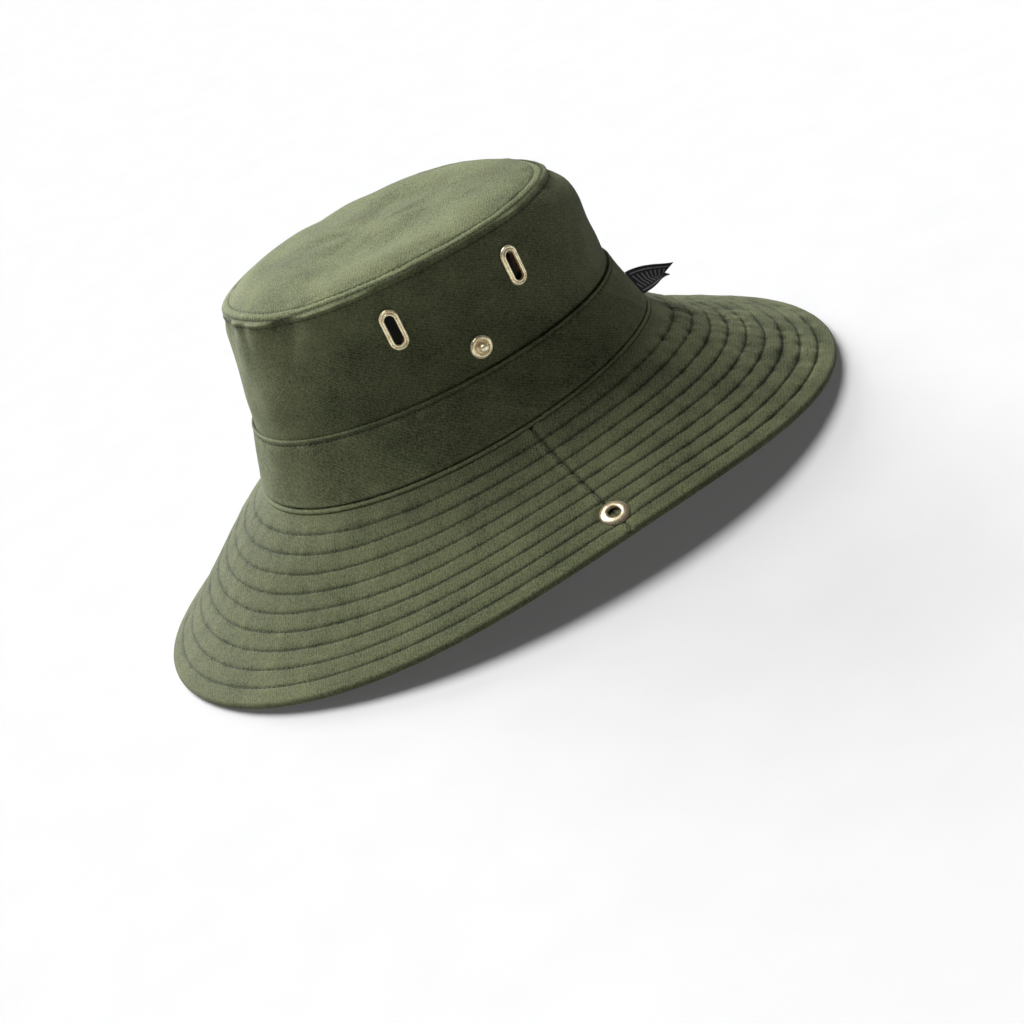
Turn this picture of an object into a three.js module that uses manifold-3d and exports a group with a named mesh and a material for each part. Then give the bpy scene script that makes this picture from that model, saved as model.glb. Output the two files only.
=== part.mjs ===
import * as THREE from "three";
import Module from "manifold-3d";

const wasm = await Module();
wasm.setup();

// Driving dimensions, millimetres and degrees. The hat frame has its origin at the
// crown's base centre, +Z up the crown, -Y to the front and +X to the wearer's left.
const RING_SEGMENTS = 48;
const CROWN_LEVELS = [
  { z: 0.0, halfWidth: 85.7, halfLength: 104.3, centreY: 0.0, tilt: 0.0, power: 2.08 },
  { z: 29.7, halfWidth: 73.5, halfLength: 94.9, centreY: 1.3, tilt: -0.042, power: 2.08 },
  { z: 74.8, halfWidth: 71.1, halfLength: 86.3, centreY: 4.9, tilt: -0.051, power: 2.2 },
  { z: 87.6, halfWidth: 69.6, halfLength: 79.6, centreY: 1.9, tilt: -0.051, power: 2.2 },
];
const TIP_DOME = 3.0;
const CLOTH = 1.1;
const LINING = 0.7;
const LEATHERETTE = 1.3;
const STIFFENER = 0.8;
const GAP = 0.3;
const LAYER_GAP = 0.45;
const BAND_TOP = 29.7;

// The brim's width and downward slope, as a mean and harmonics of the angle round it:
// back is the sine, side the cosine of twice the angle, and so on upward.
const BRIM_WIDTH = { mean: 86.7, back: 1.2, side: -8.8, third: 0.3, fourth: -0.17 };
const BRIM_DROOP = { mean: 32.1, back: 1.93, side: -3.75, third: -1.2, fourth: -0.86, fifth: -0.46 };
const BRIM_SAG = { mean: 2.65, back: 0.5 };
const BRIM_STEPS = [0.0, 0.3, 0.64, 1.0];
const BRIM_TUCK = 3.3;
const FOLD_X = 110.0;
const FOLD_GAP = 0.8;
const SEAM_GAP = 0.3;
const SHELL_FOOT = 0.4;
const SWEAT_FOOT = -3.0;
const LINING_TIP_SHARE = 0.955;

// Heights of metal parts are measured from the outside of the cloth they sit on.
const EYELET = { y: 31.0, z: 65.6, length: 19.7, width: 9.0, slotLength: 14.2, slotWidth: 4.6 };
const EYELET_RIM = { under: 0.35, shoulder: 1.1, crest: 1.8, barrel: 0.8, tail: 1.2 };
const WASHER = { trim: 0.6, thickness: 0.9 };
const STUD = { z: 40.5, flange: 5.4, under: 0.35, dish: 1.2, crest: 1.9, post: 1.3, tail: 1.3 };
const STUD_BALL = { radius: 2.0, flat: 1.2, top: 5.6, neck: 3.0 };
const STUD_CAP = { radius: 5.0, crown: 3.6, thickness: 0.6, height: 1.3, lift: 0.4 };
const SOCKET = { reach: 63.0, flange: 6.9, under: 0.6, crest: 1.8, hole: 2.7, barrel: 3.7, tail: 0.4 };
const SOCKET_CAP = { radius: 5.8, crown: 4.2, thickness: 0.5, height: 1.1, lift: 0.7 };
const BORE_GAP = 0.3;
const POST_GAP = 0.4;
const LABEL = { x: 20.0, low: 2.2, high: 16.0, length: 22.0, thickness: 0.8, notch: 4.5 };
const LABEL_GAP = 0.4;
const LABEL_SLANT = 1.0;
const LEVEL_ANGLE = 1.304;

const OLIVE = 0x4b5636;
const OLIVE_LINING = 0x3c452c;
const BRASS = 0xcdbb8c;

function material(color, roughness, metalness) {
  return new THREE.MeshStandardMaterial({ color, roughness, metalness });
}

const CLOTH_LOOK = material(OLIVE, 0.9, 0.0);
const LINING_LOOK = material(OLIVE_LINING, 0.9, 0.0);
const SWEAT_LOOK = material(0x2c3122, 0.85, 0.0);
const STIFF_LOOK = material(0xd9d6c8, 0.95, 0.0);
const METAL_LOOK = material(BRASS, 0.3, 1.0);
const LABEL_LOOK = material(0x141414, 0.8, 0.0);

// ---- general helpers ----

function signedPower(value, power) {
  return Math.sign(value) * Math.pow(Math.abs(value), power);
}

function orientOutward(points, faces) {
  let volume = 0;
  for (const [a, b, c] of faces) {
    volume += points[a].dot(new THREE.Vector3().crossVectors(points[b], points[c]));
  }
  return volume < 0 ? faces.map(([a, b, c]) => [a, c, b]) : faces;
}

function geometryOf(points, faces) {
  const geometry = new THREE.BufferGeometry();
  const flat = points.flatMap((p) => [p.x, p.y, p.z]);
  geometry.setAttribute("position", new THREE.Float32BufferAttribute(flat, 3));
  geometry.setIndex(orientOutward(points, faces).flat());
  geometry.computeVertexNormals();
  return geometry;
}

// Skins a closed profile of equal rings into one ring-shaped solid.
function loftRing(rings) {
  const count = rings[0].length;
  const points = rings.flat();
  const faces = [];
  for (let i = 0; i < rings.length; i += 1) {
    const next = (i + 1) % rings.length;
    for (let j = 0; j < count; j += 1) {
      const k = (j + 1) % count;
      faces.push([i * count + j, i * count + k, next * count + k]);
      faces.push([i * count + j, next * count + k, next * count + j]);
    }
  }
  return geometryOf(points, faces);
}

// Skins rings between two end points into one disc-shaped solid.
function loftDisc(first, rings, last) {
  const count = rings[0].length;
  const points = [first, ...rings.flat(), last];
  const end = points.length - 1;
  const faces = [];
  for (let j = 0; j < count; j += 1) {
    const k = (j + 1) % count;
    faces.push([0, 1 + j, 1 + k]);
    for (let i = 0; i < rings.length - 1; i += 1) {
      const a = 1 + i * count;
      const b = a + count;
      faces.push([a + j, b + k, a + k]);
      faces.push([a + j, b + j, b + k]);
    }
    const tail = 1 + (rings.length - 1) * count;
    faces.push([end, tail + k, tail + j]);
  }
  return geometryOf(points, faces);
}

function toManifold(geometry) {
  const vertProperties = new Float32Array(geometry.getAttribute("position").array);
  const triVerts = new Uint32Array(geometry.getIndex().array);
  return new wasm.Manifold(new wasm.Mesh({ numProp: 3, vertProperties, triVerts }));
}

function fromManifold(solid) {
  const mesh = solid.getMesh();
  const geometry = new THREE.BufferGeometry();
  const flat = new Float32Array(mesh.vertProperties);
  geometry.setAttribute("position", new THREE.BufferAttribute(flat, 3));
  geometry.setIndex(new THREE.BufferAttribute(new Uint32Array(mesh.triVerts), 1));
  geometry.computeVertexNormals();
  return geometry;
}

function cutAll(geometry, tools) {
  let solid = toManifold(geometry);
  for (const tool of tools) {
    solid = solid.subtract(toManifold(tool));
  }
  return fromManifold(solid);
}

function slab(low, high) {
  const size = high.map((v, i) => v - low[i]);
  return wasm.Manifold.cube(size, false).translate(low);
}

// ---- local frames for hardware ----

function placement(origin, normal, up) {
  const n = normal.clone().normalize();
  const side = new THREE.Vector3().crossVectors(up, n).normalize();
  const top = new THREE.Vector3().crossVectors(n, side);
  return new THREE.Matrix4().makeBasis(side, top, n).setPosition(origin);
}

function circleRing(radius, height, segments) {
  const ring = [];
  for (let j = 0; j < segments; j += 1) {
    const a = (2 * Math.PI * j) / segments;
    ring.push(new THREE.Vector3(radius * Math.cos(a), radius * Math.sin(a), height));
  }
  return ring;
}

function slotRing(length, width, height) {
  const ring = [];
  const r = width / 2;
  const half = length / 2 - r;
  for (let j = 0; j <= 7; j += 1) {
    const a = (Math.PI * j) / 7;
    ring.push(new THREE.Vector3(r * Math.cos(a), half + r * Math.sin(a), height));
  }
  for (let j = 0; j <= 7; j += 1) {
    const a = Math.PI + (Math.PI * j) / 7;
    ring.push(new THREE.Vector3(r * Math.cos(a), -half + r * Math.sin(a), height));
  }
  return ring;
}

function plug(ring, low, high) {
  const bottom = ring.map((p) => new THREE.Vector3(p.x, p.y, low));
  const top = ring.map((p) => new THREE.Vector3(p.x, p.y, high));
  const first = new THREE.Vector3(0, 0, low);
  const last = new THREE.Vector3(0, 0, high);
  return loftDisc(first, [bottom, top], last);
}

// ---- the crown's surface ----

function levelAt(z) {
  let i = 0;
  while (i < CROWN_LEVELS.length - 2 && z > CROWN_LEVELS[i + 1].z) {
    i += 1;
  }
  const a = CROWN_LEVELS[i];
  const b = CROWN_LEVELS[i + 1];
  const f = Math.max(0, (z - a.z) / (b.z - a.z));
  const mix = (key) => a[key] + (b[key] - a[key]) * f;
  return {
    halfWidth: mix("halfWidth"),
    halfLength: mix("halfLength"),
    centreY: mix("centreY"),
    tilt: mix("tilt"),
    power: mix("power"),
  };
}

// The wall runs inside the band, so its surface is set in below the band's top.
function wallInset(z) {
  const full = CLOTH + GAP;
  if (z <= BAND_TOP) {
    return full;
  }
  return full * Math.max(0, 1 - (z - BAND_TOP) / (CROWN_LEVELS[2].z - BAND_TOP));
}

function crownPoint(angle, z, inset) {
  const level = levelAt(z);
  const e = 2 / level.power;
  const x = (level.halfWidth - inset) * signedPower(Math.cos(angle), e);
  const reach = (level.halfLength - inset) * signedPower(Math.sin(angle), e);
  const y = level.centreY + reach;
  return new THREE.Vector3(x, y, z + level.tilt * y);
}

function crownRing(z, inset) {
  const ring = [];
  for (let j = 0; j < RING_SEGMENTS; j += 1) {
    ring.push(crownPoint((2 * Math.PI * j) / RING_SEGMENTS, z, inset));
  }
  return ring;
}

function crownShell(levels, outerInset, thickness) {
  const outer = levels.map((z) => crownRing(z, outerInset(z)));
  const inner = levels.map((z) => crownRing(z, outerInset(z) + thickness));
  return loftRing([...outer, ...inner.reverse()]);
}

function tipRing(share, drop) {
  const seam = CROWN_LEVELS[3];
  const edge = crownRing(seam.z, 0);
  const centre = new THREE.Vector3(0, seam.centreY, seam.z + seam.tilt * seam.centreY);
  return edge.map((p) => {
    const q = centre.clone().lerp(p, share);
    q.z += TIP_DOME * (1 - share * share) - drop;
    return q;
  });
}

function tipDisc(edgeShare, drop, thickness) {
  const seam = CROWN_LEVELS[3];
  const z = seam.z + seam.tilt * seam.centreY + TIP_DOME;
  const shares = [0.5, edgeShare];
  const top = shares.map((s) => tipRing(s, drop));
  const bottom = shares.map((s) => tipRing(s, drop + thickness)).reverse();
  const first = new THREE.Vector3(0, seam.centreY, z - drop);
  const last = new THREE.Vector3(0, seam.centreY, z - drop - thickness);
  return loftDisc(first, [...top, ...bottom], last);
}

// ---- the brim's surface ----

function brimShape(angle) {
  const s = Math.sin(angle);
  const side = Math.cos(2 * angle);
  const third = Math.sin(3 * angle);
  const fourth = Math.cos(4 * angle);
  const fifth = Math.sin(5 * angle);
  const w = BRIM_WIDTH;
  const d = BRIM_DROOP;
  const width = w.mean + w.back * s + w.side * side + w.third * third + w.fourth * fourth;
  const low = d.mean + d.back * s + d.side * side;
  const droop = low + d.third * third + d.fourth * fourth + d.fifth * fifth;
  return { width, droop, sag: BRIM_SAG.mean + BRIM_SAG.back * s };
}

function brimPoint(angle, step) {
  const here = crownPoint(angle, 0, 0);
  const ahead = crownPoint(angle + 0.002, 0, 0);
  const behind = crownPoint(angle - 0.002, 0, 0);
  const out = new THREE.Vector3(ahead.y - behind.y, behind.x - ahead.x, 0).normalize();
  const { width, droop, sag } = brimShape(angle);
  const slope = THREE.MathUtils.degToRad(droop);
  const run = width * step * Math.cos(slope);
  const fall = width * step * Math.sin(slope) + sag * 4 * step * (1 - step);
  return here.addScaledVector(out, run).add(new THREE.Vector3(0, 0, -fall));
}

function brimNormal(angle, step) {
  const along = brimPoint(angle + 0.01, step).sub(brimPoint(angle - 0.01, step));
  const outward = brimPoint(angle, step + 0.01).sub(brimPoint(angle, step - 0.01));
  return outward.cross(along).normalize();
}

function brimRing(step, depth) {
  const ring = [];
  for (let j = 0; j < RING_SEGMENTS; j += 1) {
    const angle = (2 * Math.PI * j) / RING_SEGMENTS;
    ring.push(brimPoint(angle, step).addScaledVector(brimNormal(angle, step), -depth));
  }
  return ring;
}

// The inner edge runs level under the band, where it is sewn to the wall.
function tuckRing(depth) {
  return crownRing(0, BRIM_TUCK).map((p) => new THREE.Vector3(p.x, p.y, -depth));
}

function brimLayer(depth, thickness) {
  const top = BRIM_STEPS.map((step) => brimRing(step, depth));
  const bottom = BRIM_STEPS.map((step) => brimRing(step, depth + thickness)).reverse();
  return toManifold(loftRing([tuckRing(depth), ...top, ...bottom, tuckRing(depth + thickness)]));
}

function brimPiece(layer, low, high) {
  return fromManifold(layer.intersect(slab(low, high)));
}

const FAR = 400;
const ROOT_X = FOLD_X - FOLD_GAP / 2;
const FLAP_X = FOLD_X + FOLD_GAP / 2;

// ---- hardware ----

// The frame on the wall at a distance back and a height, on the side the sign gives.
function wallFrame(y, z, sign) {
  const level = levelAt(z);
  let angle = Math.asin((y - level.centreY) / level.halfLength);
  for (let i = 0; i < 12; i += 1) {
    angle += (y - crownPoint(angle, z, 0).y) / level.halfLength;
  }
  const inset = wallInset(z);
  const origin = crownPoint(angle, z, inset);
  const ahead = crownPoint(angle + 0.01, z, inset).sub(crownPoint(angle - 0.01, z, inset));
  const higher = crownPoint(angle, z + 2, wallInset(z + 2));
  const lower = crownPoint(angle, z - 2, wallInset(z - 2));
  const normal = ahead.cross(higher.sub(lower)).normalize();
  origin.x *= sign;
  normal.x *= sign;
  return placement(origin, normal, new THREE.Vector3(0, 0, 1));
}

// How far it is from the outside of the wall to the inside of the lining.
const THROUGH = CLOTH + GAP + LINING;

function eyeletShell() {
  const e = EYELET;
  const rim = EYELET_RIM;
  const outer = (grow, h) => slotRing(e.length - grow, e.width - grow, h);
  const inner = (grow, h) => slotRing(e.slotLength + grow, e.slotWidth + grow, h);
  const barrel = 2 * rim.barrel;
  const back = -THROUGH - rim.tail;
  return loftRing([
    outer(0, rim.under),
    outer(0.2, rim.shoulder),
    outer(1.6, rim.crest),
    inner(2.0, rim.crest),
    inner(0, rim.shoulder),
    inner(0, back),
    inner(barrel, back),
    inner(barrel, rim.under),
  ]);
}

function eyeletWasher() {
  const e = EYELET;
  const trim = WASHER.trim;
  const hole = 2 * (EYELET_RIM.barrel + BORE_GAP);
  const low = -THROUGH - EYELET_RIM.tail;
  const high = low + WASHER.thickness;
  return loftRing([
    slotRing(e.length - trim, e.width - trim, high),
    slotRing(e.length - trim, e.width - trim, low),
    slotRing(e.slotLength + hole, e.slotWidth + hole, low),
    slotRing(e.slotLength + hole, e.slotWidth + hole, high),
  ]);
}

// The tools cut clear through the cloth on both sides of its surface.
const TOOL_BELOW = -9;
const TOOL_ABOVE = 6;

function eyeletTool() {
  const grow = 2 * (EYELET_RIM.barrel + BORE_GAP);
  const ring = slotRing(EYELET.slotLength + grow, EYELET.slotWidth + grow, 0);
  return plug(ring, TOOL_BELOW, TOOL_ABOVE);
}

// Turned parts are given as radius and height, from the outer end to the inner one.
function turned(profile, segments) {
  const rings = profile.map(([r, h]) => circleRing(r, h, segments));
  const first = new THREE.Vector3(0, 0, profile[0][1]);
  const last = new THREE.Vector3(0, 0, profile[profile.length - 1][1]);
  return loftDisc(first, rings, last);
}

function turnedRing(profile, segments) {
  return loftRing(profile.map(([r, h]) => circleRing(r, h, segments)));
}

function studBody() {
  const s = STUD;
  const ball = STUD_BALL;
  return turned([
    [ball.flat, ball.top],
    [ball.radius, ball.top - 1.0],
    [ball.radius, ball.top - 1.8],
    [s.post, ball.neck],
    [s.post + 0.3, s.dish + 0.3],
    [s.flange - 1.6, s.dish],
    [s.flange - 0.7, s.crest],
    [s.flange, s.crest - 0.6],
    [s.flange, s.under],
    [s.post, s.under],
    [s.post, -THROUGH - s.tail],
  ], 16);
}

function studCap() {
  const cap = STUD_CAP;
  const face = -THROUGH - cap.lift;
  const bore = STUD.post + POST_GAP;
  return turnedRing([
    [cap.radius, face],
    [cap.radius, face - cap.thickness],
    [cap.crown, face - cap.height],
    [bore, face - cap.height],
    [bore, face],
  ], 16);
}

function studTool() {
  return plug(circleRing(STUD.post + POST_GAP, 0, 12), TOOL_BELOW, TOOL_ABOVE);
}

const BRIM_DEPTH = 2 * CLOTH + STIFFENER + 2 * LAYER_GAP;

function socketFrame(sign) {
  const step = SOCKET.reach / brimShape(0).width;
  const origin = brimPoint(0, step);
  const normal = brimNormal(0, step);
  origin.x *= sign;
  normal.x *= sign;
  return placement(origin, normal, new THREE.Vector3(0, 1, 0));
}

function socketBody() {
  const s = SOCKET;
  const tail = -BRIM_DEPTH - s.tail;
  return turnedRing([
    [s.flange, s.under],
    [s.flange - 0.2, s.crest - 0.6],
    [s.flange - 1.6, s.crest],
    [s.hole + 0.9, s.crest],
    [s.hole, s.crest - 0.5],
    [s.hole, tail],
    [s.barrel, tail],
    [s.barrel, s.under],
  ], 20);
}

function socketCap() {
  const cap = SOCKET_CAP;
  const face = -BRIM_DEPTH - cap.lift;
  return turned([
    [cap.radius, face],
    [cap.radius, face - cap.thickness],
    [cap.crown, face - cap.height],
  ], 18);
}

function socketTool() {
  return plug(circleRing(SOCKET.barrel + BORE_GAP, 0, 18), TOOL_BELOW, TOOL_ABOVE);
}

// ---- the label at the back of the band ----

function labelTab() {
  const l = LABEL;
  const edge = (z) => {
    const level = levelAt(z);
    const across = Math.pow(1 - Math.pow(l.x / level.halfWidth, level.power), 1 / level.power);
    const y = level.centreY + level.halfLength * across;
    return [y + LABEL_GAP, z + level.tilt * y];
  };
  const [lowY, lowZ] = edge(l.low);
  const [highY, highZ] = edge(l.high);
  const end = (lowY + highY) / 2 + l.length;
  const mid = (lowZ + highZ) / 2;
  const shape = new THREE.Shape();
  shape.moveTo(lowY, lowZ);
  shape.lineTo(end, lowZ);
  shape.lineTo(end - l.notch, mid);
  shape.lineTo(end - LABEL_SLANT, highZ);
  shape.lineTo(highY, highZ);
  shape.closePath();
  const options = { depth: l.thickness, bevelEnabled: false, steps: 1 };
  const solid = new THREE.ExtrudeGeometry(shape, options);
  const turn = new THREE.Matrix4().makeBasis(
    new THREE.Vector3(0, 1, 0),
    new THREE.Vector3(0, 0, 1),
    new THREE.Vector3(1, 0, 0),
  );
  return solid.applyMatrix4(turn.setPosition(l.x - l.thickness / 2, 0, 0));
}

// ---- assembly ----

const hat = new THREE.Group();

function add(name, geometry, look) {
  const mesh = new THREE.Mesh(geometry, look);
  mesh.name = name;
  hat.add(mesh);
}

function placed(geometry, frame) {
  return geometry.applyMatrix4(frame);
}

function addCrown() {
  const holes = [];
  for (const sign of [1, -1]) {
    for (const end of [-1, 1]) {
      holes.push(placed(eyeletTool(), wallFrame(EYELET.y * end, EYELET.z, sign)));
    }
    holes.push(placed(studTool(), wallFrame(0, STUD.z, sign)));
  }
  const seam = CROWN_LEVELS[3].z;
  const waist = CROWN_LEVELS[2].z;
  const wallTop = seam - CLOTH - GAP;
  const liningTop = seam - CLOTH - LINING - 3 * GAP;
  const liningInset = (z) => wallInset(z) + CLOTH + GAP;
  const wall = crownShell([SHELL_FOOT, BAND_TOP, waist, wallTop], wallInset, CLOTH);
  const lining = crownShell([SHELL_FOOT, BAND_TOP, waist, liningTop], liningInset, LINING);
  add("crown_wall", cutAll(wall, holes), CLOTH_LOOK);
  add("crown_tip", tipDisc(1.0, 0, CLOTH), CLOTH_LOOK);
  add("lining_wall", cutAll(lining, holes), LINING_LOOK);
  add("lining_tip", tipDisc(LINING_TIP_SHARE, CLOTH + GAP, LINING), LINING_LOOK);
  add("hat_band", crownShell([SHELL_FOOT, BAND_TOP], () => 0, CLOTH), CLOTH_LOOK);
  const sweatInset = () => 2 * CLOTH + LINING + 3 * GAP;
  add("sweatband", crownShell([SWEAT_FOOT, 0, BAND_TOP], sweatInset, LEATHERETTE), SWEAT_LOOK);
}

function addBrim() {
  const top = brimLayer(0, CLOTH);
  const core = brimLayer(CLOTH + LAYER_GAP, STIFFENER);
  const under = brimLayer(CLOTH + STIFFENER + 2 * LAYER_GAP, CLOTH);
  const half = SEAM_GAP / 2;
  add("brim_top_front", brimPiece(top, [-ROOT_X, -FAR, -FAR], [ROOT_X, -half, FAR]), CLOTH_LOOK);
  add("brim_top_back", brimPiece(top, [-ROOT_X, half, -FAR], [ROOT_X, FAR, FAR]), CLOTH_LOOK);
  add("brim_stiffener", brimPiece(core, [-ROOT_X, -FAR, -FAR], [ROOT_X, FAR, FAR]), STIFF_LOOK);
  add("brim_under", brimPiece(under, [-ROOT_X, -FAR, -FAR], [ROOT_X, FAR, FAR]), CLOTH_LOOK);
  addFlap("left", 1, top, core, under);
  addFlap("right", -1, top, core, under);
}

function addFlap(side, sign, top, core, under) {
  const half = SEAM_GAP / 2;
  const low = sign > 0 ? FLAP_X : -FAR;
  const high = sign > 0 ? FAR : -FLAP_X;
  const hole = [placed(socketTool(), socketFrame(sign))];
  const cut = (layer, from, to) => {
    return cutAll(brimPiece(layer, [low, from, -FAR], [high, to, FAR]), hole);
  };
  add(`${side}_flap_top_front`, cut(top, -FAR, -half), CLOTH_LOOK);
  add(`${side}_flap_top_back`, cut(top, half, FAR), CLOTH_LOOK);
  add(`${side}_flap_stiffener`, cut(core, -FAR, FAR), STIFF_LOOK);
  add(`${side}_flap_under`, cut(under, -FAR, FAR), CLOTH_LOOK);
}

function addHardware(side, sign) {
  for (const [end, way] of [["front", -1], ["back", 1]]) {
    const eyelet = wallFrame(EYELET.y * way, EYELET.z, sign);
    add(`${side}_${end}_eyelet`, placed(eyeletShell(), eyelet), METAL_LOOK);
    add(`${side}_${end}_eyelet_washer`, placed(eyeletWasher(), eyelet), METAL_LOOK);
  }
  const stud = wallFrame(0, STUD.z, sign);
  add(`${side}_snap_stud`, placed(studBody(), stud), METAL_LOOK);
  add(`${side}_snap_stud_cap`, placed(studCap(), stud), METAL_LOOK);
  const socket = socketFrame(sign);
  add(`${side}_snap_socket`, placed(socketBody(), socket), METAL_LOOK);
  add(`${side}_snap_socket_cap`, placed(socketCap(), socket), METAL_LOOK);
}

// Stands the hat level on its brim, centred over the origin.
function standLevel() {
  const turn = new THREE.Matrix4().makeRotationX(THREE.MathUtils.degToRad(LEVEL_ANGLE));
  hat.children.forEach((mesh) => mesh.geometry.applyMatrix4(turn));
  const box = new THREE.Box3().setFromObject(hat);
  const centre = box.getCenter(new THREE.Vector3());
  hat.children.forEach((mesh) => mesh.geometry.translate(-centre.x, -centre.y, -box.min.z));
}

addCrown();
addBrim();
addHardware("left", 1);
addHardware("right", -1);
add("back_label", labelTab(), LABEL_LOOK);
standLevel();

export default hat;
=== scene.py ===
"""The looks of a cotton bucket hat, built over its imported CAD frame.

Every piece is a mesh worked out from the hat's driving dimensions, in the hat's
own frame: millimetres, origin at the crown's base centre, +Z up the crown, +Y to
the back and +X to the wearer's left. seat() carries points into the CAD frame.
"""

import math

import bmesh
import bpy
import numpy as np
from mathutils import Matrix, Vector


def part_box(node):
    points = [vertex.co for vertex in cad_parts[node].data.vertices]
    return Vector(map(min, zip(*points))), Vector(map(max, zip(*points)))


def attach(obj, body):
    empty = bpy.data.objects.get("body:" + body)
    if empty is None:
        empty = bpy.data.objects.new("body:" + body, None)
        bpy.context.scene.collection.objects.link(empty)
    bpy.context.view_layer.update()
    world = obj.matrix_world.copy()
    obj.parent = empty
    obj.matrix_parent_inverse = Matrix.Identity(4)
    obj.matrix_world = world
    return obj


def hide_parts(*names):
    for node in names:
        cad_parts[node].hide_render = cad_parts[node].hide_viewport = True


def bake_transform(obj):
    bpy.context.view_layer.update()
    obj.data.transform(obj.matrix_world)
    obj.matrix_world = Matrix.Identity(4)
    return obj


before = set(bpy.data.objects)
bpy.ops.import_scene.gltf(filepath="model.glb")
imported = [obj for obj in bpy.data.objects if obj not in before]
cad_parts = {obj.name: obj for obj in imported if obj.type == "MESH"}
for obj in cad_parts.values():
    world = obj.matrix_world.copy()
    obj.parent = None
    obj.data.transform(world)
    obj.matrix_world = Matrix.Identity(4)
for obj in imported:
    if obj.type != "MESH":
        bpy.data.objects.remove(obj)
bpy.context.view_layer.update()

MM = 0.001

# The hat's driving dimensions, millimetres and degrees.
# Crown levels: height, half width, half length, centre y, tilt, superellipse power.
CROWN_LEVELS = [
    [0.0, 85.7, 104.3, 0.0, 0.0, 2.08],
    [29.7, 73.5, 94.9, 1.3, -0.042, 2.08],
    [74.8, 71.1, 86.3, 4.9, -0.051, 2.2],
    [87.6, 69.6, 79.6, 1.9, -0.051, 2.2],
]
LEVEL_SMOOTH = 5.0
BACK_DROP = 4.5
SEAM_Z = 87.6
SHOULDER_Z = 74.8
BAND_TOP = 29.7
TIP_DOME = 3.0
CLOTH = 1.1
LINING = 0.7
GAP = 0.3
BRIM_WIDTH = {"mean": 86.7, "back": 1.2, "side": -8.8, "third": 0.3, "fourth": -0.17}
BRIM_DROOP = {"mean": 32.1, "back": 1.93, "side": -3.75, "third": -1.2, "fourth": -0.86, "fifth": -0.46}
BRIM_SAG = {"mean": 2.65, "back": 0.5}
BRIM_DEPTH = 3.9
BRIM_TUCK = 3.3
BRIM_FOOT_RADIUS = 85.7
BRIM_RADIUS_GAIN = 78.0
EYELET_Y = 31.0
EYELET_Z = 65.6
EYELET_LENGTH = 19.7
EYELET_WIDTH = 9.0
SLOT_LENGTH = 14.2
SLOT_WIDTH = 4.6
EYELET_BARREL = 0.8
STUD_Z = 40.5
SOCKET_REACH = 63.0
LABEL_X = 20.0
LABEL_LOW = 2.2
LABEL_HIGH = 16.0
LABEL_LENGTH = 22.0
LABEL_THICK = 0.8
LABEL_NOTCH = 4.5
LABEL_TWIST = math.radians(50)
LABEL_DROOP = 4.2
LABEL_BEARING = math.radians(79)
LEVEL_TURN = math.radians(1.304)

# Where the hat has gone out of true: height or depth, degrees round, half width in degrees.
FRONT_DROOP = (9.0, 229, 23)
FRONT_DRAWN_IN = (13.0, 229, 23)
EDGE_DIPS = [(1.0, 186, 6), (0.4, 163, 6), (6.2, 230, 44), (1.2, 300, 16), (2.8, 95, 30)]
EDGE_BULGES = [(3.6, 221, 46), (1.6, 66, 26)]

# Sewing.
ROW_COUNT = 9
LAST_STRIP = 1.05  # the strip outside the last row, in rows
ROW_PITCH = 1 / (ROW_COUNT + LAST_STRIP)  # as a share of the brim's width
SEAM_STITCH_DOWN = 3.7
SEAM_STITCH_IN = 4.3
BAND_STITCHES = {27.9: 0.18, 2.3: 0.0}  # height up the crown, and how proud they lie
STITCH_PITCH = 3.1
STITCH_LENGTH = 2.3
STITCH_RADIUS = 0.27

# The camera, in the hat's frame: degrees, and millimetres.
VIEW_AZIMUTH = 74.445
VIEW_ELEVATION = 24.734
VIEW_ROLL = -26.659
VIEW_DISTANCE = 1105.0
VIEW_TARGET = (-0.18, -1.43, -70.7)
VIEW_LENS = 78.52

# How far round a fitting the cloth is held flat, and where a socket hides stitches.
FITTING_CALM = 9.0
SOCKET_CALM = 8.0
SOCKET_HIDES = 8.2


# ---- from the hat's frame to the CAD frame ----


def tilt(points):
    """Turns points by the angle that stands the hat level on its brim."""
    p = np.asarray(points, float)
    c, s = math.cos(LEVEL_TURN), math.sin(LEVEL_TURN)
    y = p[..., 1] * c - p[..., 2] * s
    z = p[..., 1] * s + p[..., 2] * c
    return np.stack([p[..., 0], y, z], -1)


def seat_offset():
    """The shift that puts this hat's left snap stud where the CAD has it, in metres."""
    low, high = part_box("left_snap_stud")
    stud = tilt([0.0, 0.0, STUD_Z]) * MM
    return np.array([0.0, (low.y + high.y) / 2 - stud[1], (low.z + high.z) / 2 - stud[2]])


SEAT = seat_offset()


def seat(points):
    """Points of the hat's frame, in the CAD frame and in metres."""
    return tilt(points) * MM + SEAT


# ---- smooth numbers ----


def signed_power(value, power):
    return np.sign(value) * np.abs(value) ** power


def smoothstep(low, high, value):
    t = np.clip((value - low) / (high - low), 0, 1)
    return t * t * (3 - 2 * t)


def bell(value, centre, width):
    return np.exp(-(((value - centre) / width) ** 2))


def turn_bell(theta, centre_deg, width_deg):
    """A bell round the hat, with angles in degrees that wrap."""
    away = (np.degrees(theta) - centre_deg + 180) % 360 - 180
    return np.exp(-((away / width_deg) ** 2))


def bells(theta, terms):
    return sum(size * turn_bell(theta, at, reach) for size, at, reach in terms)


def unit(vectors):
    length = np.linalg.norm(vectors, axis=-1, keepdims=True)
    return vectors / np.maximum(length, 1e-9)


def spline_weights(t):
    return (
        (1 - t) ** 3 / 6,
        (3 * t**3 - 6 * t**2 + 4) / 6,
        (-3 * t**3 + 3 * t**2 + 3 * t + 1) / 6,
        t**3 / 6,
    )


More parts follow.
